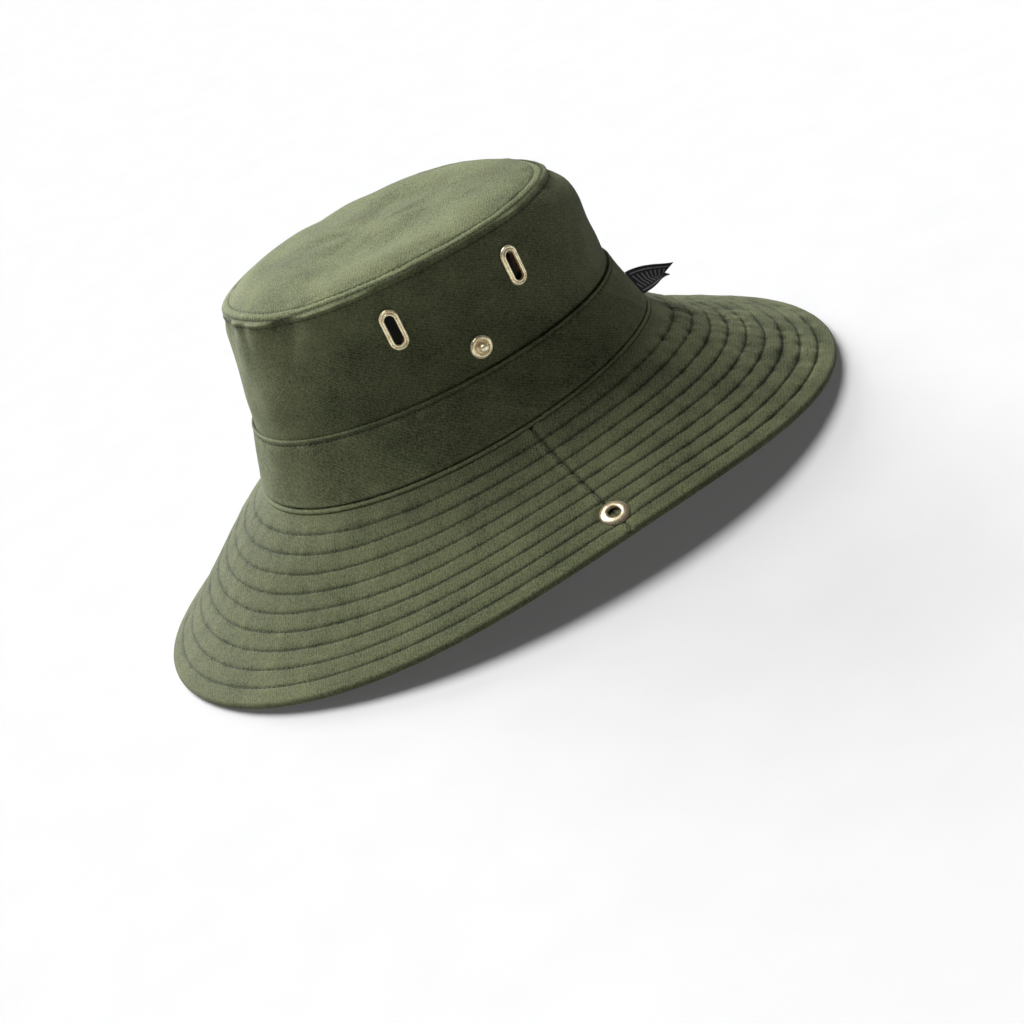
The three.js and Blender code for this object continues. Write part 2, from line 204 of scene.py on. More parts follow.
def noise(theta, v, cells_u, cells_v, seed):
    """Smooth noise of about -1 to 1. theta wraps round, v runs 0 to 1, and each use has a seed."""
    theta, v = np.broadcast_arrays(theta, v)
    lattice = np.random.default_rng(seed).uniform(-1.7, 1.7, (cells_v + 5, cells_u))
    x = (theta / (2 * np.pi)) % 1 * cells_u
    y = np.clip(v, 0, 1) * cells_v
    i, j = np.floor(x).astype(int), np.floor(y).astype(int)
    total = np.zeros(x.shape)
    for a, across in enumerate(spline_weights(x - i)):
        for b, up in enumerate(spline_weights(y - j)):
            total += across * up * lattice[j + b, (i + a) % cells_u]
    return total


def curve(points, count):
    """Points evenly along a smooth line through the given ones."""
    p = np.array(points, float)
    ends = np.vstack([2 * p[0] - p[1], p, 2 * p[-1] - p[-2]])
    t = np.linspace(0, 1, 24, endpoint=False)[:, None]
    runs = []
    for a, b, c, d in zip(ends[:-3], ends[1:-2], ends[2:-1], ends[3:], strict=True):
        bend = (2 * a - 5 * b + 4 * c - d) * t**2 + (3 * b - a - 3 * c + d) * t**3
        runs.append(0.5 * (2 * b + (c - a) * t + bend))
    line = np.vstack([*runs, p[-1:]])
    return even(line, count)


def even(line, count):
    along = np.concatenate([[0], np.cumsum(np.linalg.norm(np.diff(line, axis=0), axis=1))])
    at = np.linspace(0, along[-1], count)
    return np.stack([np.interp(at, along, line[:, k]) for k in range(line.shape[1])], 1)


# ---- the crown's surface ----


def crown_level(z):
    """Half width, half length, centre y, slope and power of the crown at a height."""
    levels = np.array(CROWN_LEVELS)
    i = np.clip(np.searchsorted(levels[:, 0], z) - 1, 0, len(levels) - 2)
    f = (z - levels[i, 0]) / (levels[i + 1, 0] - levels[i, 0])
    return levels[i, 1:] + (levels[i + 1, 1:] - levels[i, 1:]) * f[..., None]


def back_drop(theta, z):
    """The band's foot sags a little at the back, where the brim's weight pulls it."""
    return BACK_DROP * turn_bell(theta, 84, 30) * np.clip(1 - z / 24.0, 0, 1) ** 1.5


def crown_point(theta, z, inset=0.0, smooth=LEVEL_SMOOTH):
    theta, z, inset = np.broadcast_arrays(np.asarray(theta, float), z, inset)
    shifts = np.linspace(-1, 1, 7) * smooth
    level = sum(crown_level(z + shift) for shift in shifts) / len(shifts)
    half_width, half_length, centre_y, slope, power = np.moveaxis(level, -1, 0)
    x = (half_width - inset) * signed_power(np.cos(theta), 2 / power)
    y = centre_y + (half_length - inset) * signed_power(np.sin(theta), 2 / power)
    return np.stack([x, y, z + slope * y - back_drop(theta, z)], -1)


def wall_inset(z):
    """How far in the wall lies to pass under the band."""
    return (CLOTH + GAP) * np.clip(1 - (z - BAND_TOP) / (SHOULDER_Z - BAND_TOP), 0, 1)


def grid_normals(points, closed):
    """Unit normals of a grid whose columns run round and whose rows run up."""
    if closed:
        along = np.roll(points, -1, 1) - np.roll(points, 1, 1)
    else:
        along = np.gradient(points, axis=1)
    return unit(np.cross(along, np.gradient(points, axis=0)))


# ---- the brim's surface ----


def harmonics(theta, terms):
    """A smooth number all round the hat, from the sizes of its waves."""
    waves = {"mean": 1.0, "back": np.sin(theta), "side": np.cos(2 * theta), "third": np.sin(3 * theta)}
    waves.update({"fourth": np.cos(4 * theta), "fifth": np.sin(5 * theta)})
    return sum(size * waves[name] for name, size in terms.items())


def brim_width(theta):
    """The brim's width, drawn in where its front right droops under its own weight."""
    return harmonics(theta, BRIM_WIDTH) - bells(theta, [FRONT_DRAWN_IN])


def brim_point(theta, step):
    """A point on the brim, from its foot at step 0 to its rim at step 1."""
    here = crown_point(theta, 0.0)
    ahead = crown_point(theta + 0.002, 0.0) - crown_point(theta - 0.002, 0.0)
    out = unit(np.stack([ahead[..., 1], -ahead[..., 0], 0 * ahead[..., 0]], -1))
    length = brim_width(theta) * step
    droop = np.radians(harmonics(theta, BRIM_DROOP))
    run = length * np.cos(droop)
    fall = length * np.sin(droop) + harmonics(theta, BRIM_SAG) * 4 * step * (1 - step)
    fall = fall - back_drop(theta, 0.0) * smoothstep(0.1, 0.75, step)
    fall = fall + bells(theta, [FRONT_DROOP]) * smoothstep(0.25, 1, step)
    return here + out * run[..., None] - np.stack([0 * fall, 0 * fall, fall], -1)


def brim_frame(theta, step):
    """A point on the brim, the way outward along it and its upward normal."""
    theta, step = np.broadcast_arrays(theta, step)
    outward = unit(brim_point(theta, step + 0.01) - brim_point(theta, step - 0.01))
    along = brim_point(theta + 0.01, step) - brim_point(theta - 0.01, step)
    return brim_point(theta, step), outward, unit(np.cross(outward, along))


def row_units(theta, step):
    """Where a place on the brim lies between its stitched rows, which are at 1 to 9."""
    lag = 0.03 * turn_bell(theta, 90, 42) * smoothstep(0, 0.14, step) * (1 - step)
    wobble = 0.035 * noise(theta, step, 34, 9, 11) * smoothstep(0, 0.08, step)
    return (step - lag) / ROW_PITCH + wobble


def row_steps(theta, row):
    """The brim step of one stitched row at each angle."""
    steps = np.linspace(0, 1, 400)
    return np.array([np.interp(row, row_units(angle, steps), steps) for angle in theta])


def near_seam(theta, step):
    """How close a place is to the side seams, in millimetres along the brim."""
    away = np.abs((theta + np.pi / 2) % np.pi - np.pi / 2)
    return away * (BRIM_FOOT_RADIUS + BRIM_RADIUS_GAIN * step)


def brim_quilt(theta, step, seed):
    """Height of the quilting over the brim's plain surface, in millimetres."""
    theta, step = np.broadcast_arrays(theta, step)
    units = row_units(theta, step)
    beyond = units > ROW_COUNT
    share = np.clip(units, 0, ROW_COUNT + LAST_STRIP) % 1
    share = np.where(beyond, np.clip((units - ROW_COUNT) / LAST_STRIP, 0, 1), share)
    off_row = np.abs(2 * share - 1)
    off_row = np.where(units < 1, np.clip(2 * share - 1, 0, 1), off_row)
    off_row = np.where(beyond, np.clip(1 - 2 * share, 0, 1), off_row)
    gather = 0.22 + 0.6 * turn_bell(theta, 72, 36) + 0.25 * turn_bell(theta, 190, 60)
    height = 0.42 + 0.42 * turn_bell(theta, 60, 60)
    pillow = height * (0.3 - off_row**3.6)
    groove = -0.3 * bell(off_row, 1, 0.09) * (units > 0.5)
    ripple = noise(theta, units / 10.1, 230, 20, seed) * 0.95
    ripple += noise(theta, units / 10.1, 400, 20, seed + 1) * 0.45
    ripple *= gather * (0.25 + 0.75 * off_row) * smoothstep(0, 0.1, step) * smoothstep(1, 0.96, step)
    seam = near_seam(theta, step)
    crease = (0.3 * bell(seam, 2.2, 1.6) - 0.75 * bell(seam, 0, 0.55)) * smoothstep(1.0, 0.97, step)
    return pillow + groove + ripple + crease


def brim_wave(theta, step):
    """The long soft waves that the whole brim has, in millimetres."""
    wave = noise(theta, step, 9, 3, 53) * 1.1 + noise(theta, step, 21, 4, 54) * 0.5
    return wave * smoothstep(0, 0.45, step)


# ---- places of the metal fittings ----


def frame_of(origin, normal, up):
    side = unit(np.cross(up, normal))
    return origin, side, np.cross(normal, side), normal


def on_wall(theta, z):
    return crown_point(theta, z, wall_inset(z), 0.0)


def wall_frame(y, z, side):
    """Origin, side, up and outward directions on the crown wall at a height and y."""
    level = crown_level(np.array(z))
    theta = math.asin((y - level[2]) / level[1])
    for _ in range(12):
        theta += (y - crown_point(theta, z, 0.0, 0.0)[1]) / level[1]
    turn, climb = 0.01, 2.0
    around = on_wall(theta + turn, z) - on_wall(theta - turn, z)
    above = on_wall(theta, z + climb) - on_wall(theta, z - climb)
    mirror = np.array([side, 1.0, 1.0])
    normal = unit(np.cross(around, above)) * mirror
    return frame_of(on_wall(theta, z) * mirror, normal, np.array([0.0, 0.0, 1.0]))


def socket_frame(side):
    step = SOCKET_REACH / brim_width(0.0)
    origin, _, normal = brim_frame(np.array(0.0), np.array(step))
    mirror = np.array([side, 1.0, 1.0])
    return frame_of(origin * mirror, normal * mirror, np.array([0.0, 1.0, 0.0]))


def in_frame(place, points):
    """Points measured from a fitting, in the hat's frame."""
    return place[0] + points @ np.array(place[1:])


def local(place, points):
    return (points - place[0]) @ np.array(place[1:]).T


SIDES = {"left": 1.0, "right": -1.0}
EYELETS = {
    (side, end): wall_frame(way * EYELET_Y, EYELET_Z, sign)
    for side, sign in SIDES.items()
    for end, way in (("front", -1.0), ("back", 1.0))
}
STUDS = {side: wall_frame(0.0, STUD_Z, sign) for side, sign in SIDES.items()}
SOCKETS = {side: socket_frame(sign) for side, sign in SIDES.items()}


def calm(points, places, reach):
    """Falls to 0 near the fittings, so that cloth lies flat under them."""
    free = np.ones(points.shape[:-1])
    for place in places:
        away = np.linalg.norm(points - place[0], axis=-1)
        free *= smoothstep(0.55 * reach, 1.35 * reach, away)
    return free


def in_slot(place, points, grow):
    """Which points lie inside an eyelet's slot, made larger all round by grow."""
    p = local(place, points)
    straight = (SLOT_LENGTH - SLOT_WIDTH) / 2
    beyond = np.maximum(np.abs(p[..., 1]) - straight, 0)
    return (np.hypot(p[..., 0], beyond) < SLOT_WIDTH / 2 + grow) & (np.abs(p[..., 2]) < 8)


def clear_of_slots(points, grow):
    """Which faces of a closed grid lie clear of every eyelet's barrel, by grow."""
    middle = (points[:-1] + points[1:]) / 2
    middle = (middle + np.roll(middle, -1, 1)) / 2
    keep = np.ones(middle.shape[:2], bool)
    for place in EYELETS.values():
        keep &= ~in_slot(place, middle, EYELET_BARREL + grow)
    return keep


# ---- meshes ----


def link_object(name, data):
    made = bpy.data.objects.new(name, data)
    bpy.context.scene.collection.objects.link(made)
    return made


def new_object(name, points, faces, material):
    """A smooth object from points in the hat's frame and faces of one size."""
    mesh = bpy.data.meshes.new(name)
    seated = seat(points).astype(np.float32)
    sides = faces.shape[1]
    mesh.vertices.add(len(seated))
    mesh.vertices.foreach_set("co", seated.ravel())
    mesh.loops.add(faces.size)
    mesh.loops.foreach_set("vertex_index", faces.ravel().astype(np.int32))
    mesh.polygons.add(len(faces))
    mesh.polygons.foreach_set("loop_start", np.arange(0, faces.size, sides, dtype=np.int32))
    mesh.update(calc_edges=True)
    mesh.shade_smooth()
    mesh.materials.append(material)
    return link_object(name, mesh)


def set_uv(mesh, corners):
    layer = mesh.uv_layers.new(name="weave")
    layer.data.foreach_set("uv", corners.astype(np.float32).ravel())


def set_value(mesh, name, values):
    attribute = mesh.attributes.new(name, "FLOAT", "POINT")
    attribute.data.foreach_set("value", np.asarray(values, np.float32).ravel())


def grid_piece(name, points, material, uv, closed=True, relief_shading=None, keep=None, normals=None):
    """A piece from a grid of points. uv, in metres, has one more column if closed."""
    rows, columns = points.shape[:2]
    index = np.arange(rows * columns).reshape(rows, columns)
    across = np.arange(columns if closed else columns - 1)
    nxt = (across + 1) % columns
    corners = [index[:-1][:, across], index[:-1][:, nxt], index[1:][:, nxt], index[1:][:, across]]
    faces = np.stack(corners, -1).reshape(-1, 4)
    uv_corners = [uv[:-1][:, across], uv[:-1][:, across + 1]]
    uv_corners += [uv[1:][:, across + 1], uv[1:][:, across]]
    uvs = np.stack(uv_corners, 2).reshape(-1, 4, 2)
    if keep is not None:
        kept = keep.reshape(-1)
        faces, uvs = faces[kept], uvs[kept]
    piece = new_object(name, points.reshape(-1, 3), faces, material)
    set_uv(piece.data, uvs)
    # Painted light and shade for the cloth's colour, from its relief; zero where none is given.
    set_value(piece.data, "relief_shading", np.zeros(rows * columns) if relief_shading is None else relief_shading)
    if normals is not None:
        turned = tilt(normals.reshape(-1, 3))
        piece.data.normals_split_custom_set_from_vertices(turned.tolist())
    return piece


def round_uv(points, rows_v, closed=True):
    """UVs in metres: mean distance round, and the given distance up."""
    loop = points if not closed else np.concatenate([points, points[:, :1]], 1)
    run = np.linalg.norm(np.diff(loop, axis=1), axis=-1).mean(0)
    u = np.concatenate([[0], np.cumsum(run)]) * MM
    v = np.asarray(rows_v, float) * MM
    return np.stack(np.broadcast_arrays(u[None, :], v[:, None]), -1)


def plan_uv(points, closed=True):
    loop = points if not closed else np.concatenate([points, points[:, :1]], 1)
    return loop[..., :2] * MM


def swept(name, rings, material, grime_and_shade):
    """A piece from closed rings of points, with how dark each ring is painted, 0 to 1: partly grime and
    partly painted shade.
    """
    rows, columns = rings.shape[:2]
    index = np.arange(rows * columns).reshape(rows, columns)
    nxt = np.roll(index, -1, 1)
    faces = np.stack([index[:-1], nxt[:-1], nxt[1:], index[1:]], -1).reshape(-1, 4)
    piece = new_object(name, rings.reshape(-1, 3), faces, material)
    set_value(piece.data, "grime_and_shade", np.repeat(grime_and_shade, columns))
    return piece


# ---- stitches ----

STITCH_SIDES = 6
# Along a stitch, from its middle: half lengths, girth and how far it dives into the cloth.
STITCH_STATIONS = np.array(
    [[-1.0, 0.25, -1.5], [-0.82, 0.85, -0.5], [0.0, 1.0, 0.0], [0.82, 0.85, -0.5], [1.0, 0.25, -1.5]]
)


def stitches(line, normals, closed, proud, phase=0.0):
    """Centres and directions of a row of stitches along a line on the cloth."""
    if closed:
        line = np.vstack([line, line[:1]])
        normals = np.vstack([normals, normals[:1]])
    along = np.concatenate([[0], np.cumsum(np.linalg.norm(np.diff(line, axis=0), axis=1))])
    count = max(2, int(along[-1] / STITCH_PITCH))
    at = (np.arange(count) + 0.5 + phase) * along[-1] / count
    half = STITCH_LENGTH / 2

    def place(values, where):
        return np.stack([np.interp(where, along, values[:, k]) for k in range(3)], 1)

    ahead = unit(place(line, at + half) - place(line, at - half))
    up = unit(place(normals, at))
    up = unit(up - ahead * (up * ahead).sum(1, keepdims=True))
    return place(line, at) + up * proud, ahead, up


def stitch_piece(name, rows):
    centre, ahead, up = (np.vstack([row[k] for row in rows]) for k in range(3))
    side = np.cross(ahead, up)
    angle = np.arange(STITCH_SIDES) * 2 * np.pi / STITCH_SIDES
    rings = []
    for reach, girth, drop in STITCH_STATIONS:
        middle = centre + ahead * reach * STITCH_LENGTH / 2 + up * drop * STITCH_RADIUS
        for a in angle:
            turn = up * math.cos(a) + side * math.sin(a)
            rings.append(middle + turn * girth * STITCH_RADIUS)
    points = np.stack(rings, 1)
    per = points.shape[1]
    base = np.arange(per).reshape(len(STITCH_STATIONS), STITCH_SIDES)
    nxt = np.roll(base, -1, 1)
    one = np.stack([base[:-1], base[1:], nxt[1:], nxt[:-1]], -1).reshape(-1, 4)
    faces = (np.arange(len(points))[:, None, None] * per + one[None]).reshape(-1, 4)
    return new_object(name, points.reshape(-1, 3), faces, THREAD_LOOK)


# ---- materials ----


class Nodes:
    """Short calls for building one material's nodes."""

    def __init__(self, name):
        self.material = bpy.data.materials.new(name)
        self.material.use_nodes = True
        self.tree = self.material.node_tree
        self.shader = self.tree.nodes["Principled BSDF"]

    def add(self, kind, **settings):
        made = self.tree.nodes.new(kind)
        for key, value in settings.items():
            setattr(made, key, value)
        return made

    def link(self, source, target):
        self.tree.links.new(source, target)

    def put(self, socket, value):
        if isinstance(value, bpy.types.NodeSocket):
            self.link(value, socket)
        else:
            socket.default_value = value

    def math(self, operation, first, second=0.0):
        made = self.add("ShaderNodeMath", operation=operation)
        self.put(made.inputs[0], first)
        self.put(made.inputs[1], second)
        return made.outputs[0]

    def near(self, value, middle, reach):
        made = self.add("ShaderNodeMath", operation="COMPARE")
        self.link(value, made.inputs[0])
        made.inputs[1].default_value = middle
        made.inputs[2].default_value = reach
        return made.outputs[0]

    def mix(self, share, first, second):
        made = self.add("ShaderNodeMix", data_type="RGBA")
        self.put(made.inputs["Factor"], share)
        self.put(made.inputs[6], first)
        self.put(made.inputs[7], second)
        return made.outputs[2]

    def noise(self, vector, scale, detail=2.0, rough=0.5):
        made = self.add("ShaderNodeTexNoise")
        self.link(vector, made.inputs["Vector"])
        made.inputs["Scale"].default_value = scale
        made.inputs["Detail"].default_value = detail
        made.inputs["Roughness"].default_value = rough
        return made.outputs["Fac"]

    def remap(self, value, low, high, to_low=0.0, to_high=1.0):
        made = self.add("ShaderNodeMapRange")
        self.link(value, made.inputs["Value"])
        ends = {"From Min": low, "From Max": high, "To Min": to_low, "To Max": to_high}
        for key, number in ends.items():
            made.inputs[key].default_value = number
        return made.outputs["Result"]

    def total(self, *terms):
        """The sum of sockets, each multiplied by its number."""
        added = None
        for socket, share in terms:
            scaled = self.math("MULTIPLY", socket, share)
            added = scaled if added is None else self.math("ADD", added, scaled)
        return added

    def uv(self):
        return self.add("ShaderNodeUVMap", uv_map="weave").outputs["UV"]

    def place(self):
        return self.add("ShaderNodeTexCoord").outputs["Object"]

    def value(self, name):
        return self.add("ShaderNodeAttribute", attribute_name=name).outputs["Fac"]

    def split(self, vector):
        made = self.add("ShaderNodeSeparateXYZ")
        self.link(vector, made.inputs[0])
        return made.outputs[0], made.outputs[1]

    def roughen(self, rough, height, strength, distance):
        """Links the roughness, and a bump of the given strength and depth in metres."""
        self.link(rough, self.shader.inputs["Roughness"])
        made = self.add("ShaderNodeBump")
        made.inputs["Strength"].default_value = strength
        made.inputs["Distance"].default_value = distance
        self.link(height, made.inputs["Height"])
        self.link(made.outputs["Normal"], self.shader.inputs["Normal"])

    def done(self, **sockets):
        """Sets the shader's sockets, whose names have _ for a space, and gives the material."""
        for name, value in sockets.items():
            self.put(self.shader.inputs[name.replace("_", " ")], value)
        return self.material


def rgba(*colour):
    return (*colour, 1.0)


def faded(colour, share):
    return tuple(share * part for part in colour)


def twill_height(nodes, vector, period, slant_deg):
    """A twill's diagonal ribs, 0 to 1, wavering a little with the yarn."""
    u, v = nodes.split(vector)
    slant = math.radians(slant_deg)
    across = nodes.total((u, math.cos(slant)), (v, math.sin(slant)))
    drift = nodes.noise(vector, 260.0)
    phase = nodes.total((across, 2 * math.pi / period), (drift, 9.0))
    return nodes.math("MULTIPLY_ADD", nodes.math("SINE", phase), 0.5)


def cloth_material(name, dark, light):
    """Cotton twill: slanted ribs, slubs and mottled dye, with painted light and shade from the cloth's
    relief: paler on ridges, darker in grooves and seams.
    """
    n = Nodes(name)
    uv, place = n.uv(), n.place()
    ribs = twill_height(n, uv, RIB_PERIOD, RIB_SLANT)
    yarn = twill_height(n, uv, YARN_PERIOD, YARN_SLANT)
    slub = n.noise(uv, 680.0, 4.0, 0.65)
    grain = n.noise(place, 1150.0, 2.0, 0.65)
    mottle = n.noise(place, 55.0, 4.0, 0.55)
    cloud = n.noise(place, 16.0)
    height = n.total((ribs, 0.26), (yarn, 0.16), (slub, 1.15))
    # The relief term paints light and shade into the colour: paler on raised cloth, darker in grooves,
    # seams and pucker hollows.
    tone = n.total((height, 0.42), (grain, 0.95), (mottle, 0.45), (cloud, 0.35), (n.value("relief_shading"), 0.30))
    n.roughen(n.remap(n.math("ADD", slub, mottle), 0.7, 1.3, 0.86, 0.97), height, 0.6, 0.0003)
    return n.done(
        Base_Color=n.mix(n.remap(tone, 0.92, 1.50), rgba(*dark), rgba(*light)),
        Sheen_Weight=0.06,
        Sheen_Roughness=0.45,
        Sheen_Tint=rgba(0.55, 0.6, 0.42),
        Specular_IOR_Level=0.18,
    )


def thread_material():
    """Twisted sewing thread, darker than the cloth; part of that darkness is painted shade of the needle
    holes and grooves it sits in.
    """
    n = Nodes("sewing_thread")
    twist = n.noise(n.place(), 1800.0)
    tone = n.mix(n.remap(twist, 0.35, 0.65), rgba(0.010, 0.013, 0.007), rgba(0.035, 0.042, 0.022))
    n.roughen(n.remap(twist, 0.3, 0.7, 0.55, 0.75), twist, 0.4, 0.0001)
    return n.done(Base_Color=tone, Specular_IOR_Level=0.25)


def brass_material(name, share):
    """Plated brass, with soft scratches and patchy tarnish; darker brown in its grooves, holes and foot,
    partly grime and partly painted shade.
    """
    n = Nodes(name)
    place = n.place()
    bright, dull, grime_and_shade_colour = (rgba(*faded(colour, share)) for colour in (BRIGHT_BRASS, DULL_BRASS, GRIME_AND_SHADE_BROWN))
    tarnish = n.remap(n.noise(place, 420.0, 4.0, 0.6), 0.42, 0.68)
    colour = n.mix(n.value("grime_and_shade"), n.mix(tarnish, bright, dull), grime_and_shade_colour)
    fine = n.noise(place, 2600.0, 3.0, 0.6)
    n.roughen(n.remap(fine, 0.3, 0.7, 0.22, 0.36), fine, 0.12, 0.00006)
    return n.done(Base_Color=colour, Metallic=0.6)


def sweatband_material():
    """Soft grained leatherette."""
    n = Nodes("sweatband_leatherette")
    place = n.place()
    cells = n.add("ShaderNodeTexVoronoi", feature="DISTANCE_TO_EDGE")
    n.link(place, cells.inputs["Vector"])
    cells.inputs["Scale"].default_value = 620.0
    wear = n.noise(place, 70.0, 3.0)
    tone = n.mix(n.remap(wear, 0.35, 0.7), rgba(0.030, 0.034, 0.020), rgba(0.055, 0.060, 0.036))
    grain = n.remap(cells.outputs["Distance"], 0.0, 0.25)
    n.roughen(n.remap(wear, 0.3, 0.7, 0.45, 0.62), grain, 0.35, 0.00025)
    return n.done(Base_Color=tone)


def label_material():
    """Black woven tape with a plain border and slanted hatching."""
    n = Nodes("label_tape")
    u, v = n.split(n.uv())
    from_edge = n.math("ABSOLUTE", n.math("SUBTRACT", v, 0.5))
    border = n.near(from_edge, 0.37, 0.028)
    stripe = n.near(n.math("FRACT", n.total((u, 9.0), (v, 2.2))), 0.5, 0.17)
    hatching = n.math("MULTIPLY", stripe, n.math("LESS_THAN", from_edge, 0.27))
    ends = n.math("MULTIPLY", n.math("GREATER_THAN", u, 0.06), n.math("LESS_THAN", u, 0.93))
    drawn = n.math("MULTIPLY", n.math("MAXIMUM", border, hatching), ends)
    weave = n.noise(n.place(), 2400.0)
    drawn = n.math("MULTIPLY", drawn, n.remap(weave, 0.3, 0.7, 0.55, 1.0))
    n.roughen(n.remap(weave, 0.3, 0.7, 0.6, 0.8), weave, 0.5, 0.0001)
    return n.done(Base_Color=n.mix(drawn, rgba(0.006, 0.006, 0.007), rgba(0.28, 0.28, 0.30)))


def floor_material():
    n = Nodes("floor_paper")
    fibre = n.remap(n.noise(n.place(), 30.0, 4.0), 0.3, 0.7)
    return n.done(
        Base_Color=n.mix(fibre, rgba(0.375, 0.375, 0.379), rgba(0.385, 0.385, 0.389)),
        Emission_Color=rgba(1.0, 1.0, 1.0),
        Emission_Strength=FLOOR_GLOW,
        Roughness=0.95,
        Specular_IOR_Level=0.0,
    )


def backdrop_material():
    n = Nodes("backdrop_paper")
    fibre = n.remap(n.noise(n.place(), 3.0, 4.0), 0.3, 0.7)
    return n.done(
        Emission_Color=n.mix(fibre, rgba(0.97, 0.97, 0.97), rgba(0.99, 0.99, 0.99)),
        Base_Color=rgba(0.0, 0.0, 0.0),
        Emission_Strength=1.0,
        Specular_IOR_Level=0.0,
    )


FLOOR_GLOW = 0.075
RIB_PERIOD = 0.00128
RIB_SLANT = 58.0
YARN_PERIOD = 0.0009
YARN_SLANT = -38.0
BRIGHT_BRASS = (0.95, 0.82, 0.55)
DULL_BRASS = (0.66, 0.50, 0.27)
GRIME_AND_SHADE_BROWN = (0.16, 0.09, 0.035)
TWILL_DARK = (0.022, 0.027, 0.0115)
TWILL_LIGHT = (0.124, 0.137, 0.069)
CLOTH_LOOK = cloth_material("olive_twill", TWILL_DARK, TWILL_LIGHT)
# The tip's copy is painted lighter, as painted light where it faces the lamps, and the brim's copy darker,
# as painted shade.
LIT_TIP_LOOK = cloth_material("olive_twill_tip_painted_light", faded(TWILL_DARK, 1.17), faded(TWILL_LIGHT, 1.17))
SHADED_BRIM_LOOK = cloth_material("olive_twill_brim_painted_shade", faded(TWILL_DARK, 0.8), faded(TWILL_LIGHT, 0.8))
LINING_LOOK = cloth_material("olive_lining", (0.028, 0.033, 0.016), (0.055, 0.063, 0.034))
THREAD_LOOK = thread_material()
# The studs' and eyelets' brass is painted brighter, as painted light, and the sockets' brass darker, as
# painted shade where they face the lamps.
LIT_BRASS_LOOK = brass_material("brass_painted_light", 1.25)
SHADED_BRASS_LOOK = brass_material("brass_painted_shade", 0.42)
SWEAT_LOOK = sweatband_material()
LABEL_LOOK = label_material()


def ring_angles(count):
    return np.arange(count) * 2 * np.pi / count


def placed(piece, body, slot, *nodes):
    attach(piece, body)
    if nodes:
        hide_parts(*nodes)


# ---- crown: wall, tip, band ----

HAT_FITTINGS = [*EYELETS.values(), *STUDS.values()]


def edge_dip(theta):
    """How far the crown's seam sags below its plain line, most at the front right."""
    return bells(theta, EDGE_DIPS) + 0.5 * noise(theta, 0.5, 11, 1, 5)


def edge_bulge(theta):
    """How far the crown's top swells outward, at the front right and at the back."""
    return bells(theta, EDGE_BULGES)


def wall_points(theta, z):
    """The crown wall's outer face, with its folds, puckers and seam edge."""
    plain = crown_point(theta, z, wall_inset(z))
    normals = grid_normals(plain, True)
    up = (z - BAND_TOP) / (SEAM_Z - BAND_TOP)
    below = SEAM_Z - z
    folds = noise(theta, up, 15, 3, 21) * 1.7 + noise(theta, up, 34, 5, 22) * 0.8
    folds *= smoothstep(-0.05, 0.3, up) * smoothstep(0, 6, below)
    left = 0.25 + 0.75 * turn_bell(theta, 292, 42)
    fine = (noise(theta, up, 118, 6, 23) * 1.7 + 0.5) * np.exp(-((below / 8.0) ** 1.4))
    wide = (noise(theta, up, 52, 4, 24) * 2.6 + 0.7) * np.exp(-((below / 20.0) ** 2))
    pucker = (fine + wide) * left * smoothstep(0.2, 2.2, below)
    free = calm(plain, HAT_FITTINGS, FITTING_CALM)
    seam = 0.25 * bell(below, 1.9, 1.2) - 0.25 * bell(below, 3.7, 0.5) - 0.7 * bell(below, 0.0, 0.6)
    height = np.maximum((folds + pucker) * free, -1.2) + seam
    height = height + edge_bulge(theta) * smoothstep(0.1, 0.9, up) * free
    height = height + 1.8 * turn_bell(theta, 74, 30) * bell(up, 0.6, 0.3) * free
    points = plain + normals * height[..., None]
    points[..., 2] -= edge_dip(theta) * np.exp(-((below / 16.0) ** 2))
    # The second value paints shade into the seam's groove and the pucker hollows, and light onto their
    # ridges.
    return points, seam + 0.3 * np.clip(pucker, -1.0, 1.0)


def make_wall():
    """The wall's cloth, from under the band to the seam, and its two rows of stitches."""
    theta = ring_angles(1080)[None, :]
    z = np.concatenate([np.linspace(27.0, 80.0, 92)[:-1], np.linspace(80.0, SEAM_Z, 34)])[:, None]
    points, relief_shading = wall_points(theta, z)
    keep = clear_of_slots(points, 0.3)
    piece = grid_piece("wall_cloth", points, CLOTH_LOOK, round_uv(points, z[:, 0]), True, relief_shading, keep)
    placed(piece, "hat", "cloth", "crown_wall")
    normals = grid_normals(points, True)
    low_row = int(np.abs(z[:, 0] - (SEAM_Z - SEAM_STITCH_DOWN)).argmin())
    low = stitches(points[low_row], normals[low_row], True, 0.02)
    return [low, stitches(points[-2], normals[-2], True, -0.05)]


